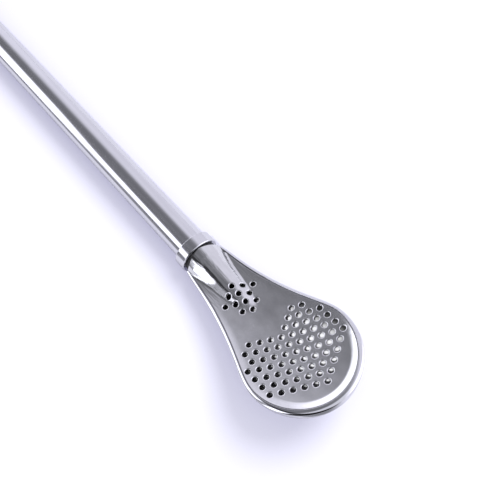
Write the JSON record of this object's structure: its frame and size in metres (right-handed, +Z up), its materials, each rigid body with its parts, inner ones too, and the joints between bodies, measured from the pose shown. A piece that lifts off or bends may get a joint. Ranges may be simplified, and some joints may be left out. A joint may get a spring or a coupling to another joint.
{
  "type": "mate drinking straw",
  "caption": "Metal drinking straw for loose-leaf mate, with a spoon-shaped perforated filter head that unscrews from the tube for cleaning.",
  "frame": {"origin": "middle of the part's box, at the level it lies on", "axes": "+X along the straw towards the tip of the head, +Z up out of the perforated face, +Y across"},
  "size_m": [0.1906, 0.0258, 0.0158],
  "materials": {
    "polished_steel": "mirror polished stainless steel",
    "turned_steel": "turned stainless steel",
    "pressed_steel": "pressed and satin polished stainless steel",
    "seal_rubber": "black silicone rubber"
  },
  "bodies": {
    "straw": {"straw_tube": "polished_steel", "mouthpiece": "polished_steel", "collar": "polished_steel", "threaded_spigot": "turned_steel"},
    "seal": {"seal_ring": "seal_rubber"},
    "head": {"threaded_socket": "turned_steel", "filter_plate": "pressed_steel", "bowl_shell": "pressed_steel"}
  },
  "joints": [
    {"name": "head_back_off", "type": "slide", "parent": "straw", "child": "seal", "axis": [1, 0, 0], "range_m": [0, 0.006]},
    {"name": "head_turn", "type": "hinge", "parent": "seal", "child": "head", "pos_m": [0.04875, 0, 0.00506], "axis": [1, 0, 0], "range_deg": [0, 2880]}
  ],
  "couplings": [
    {"joint": "head_back_off", "follows": "head_turn", "m_per_rad": 0.00011937}
  ]
}
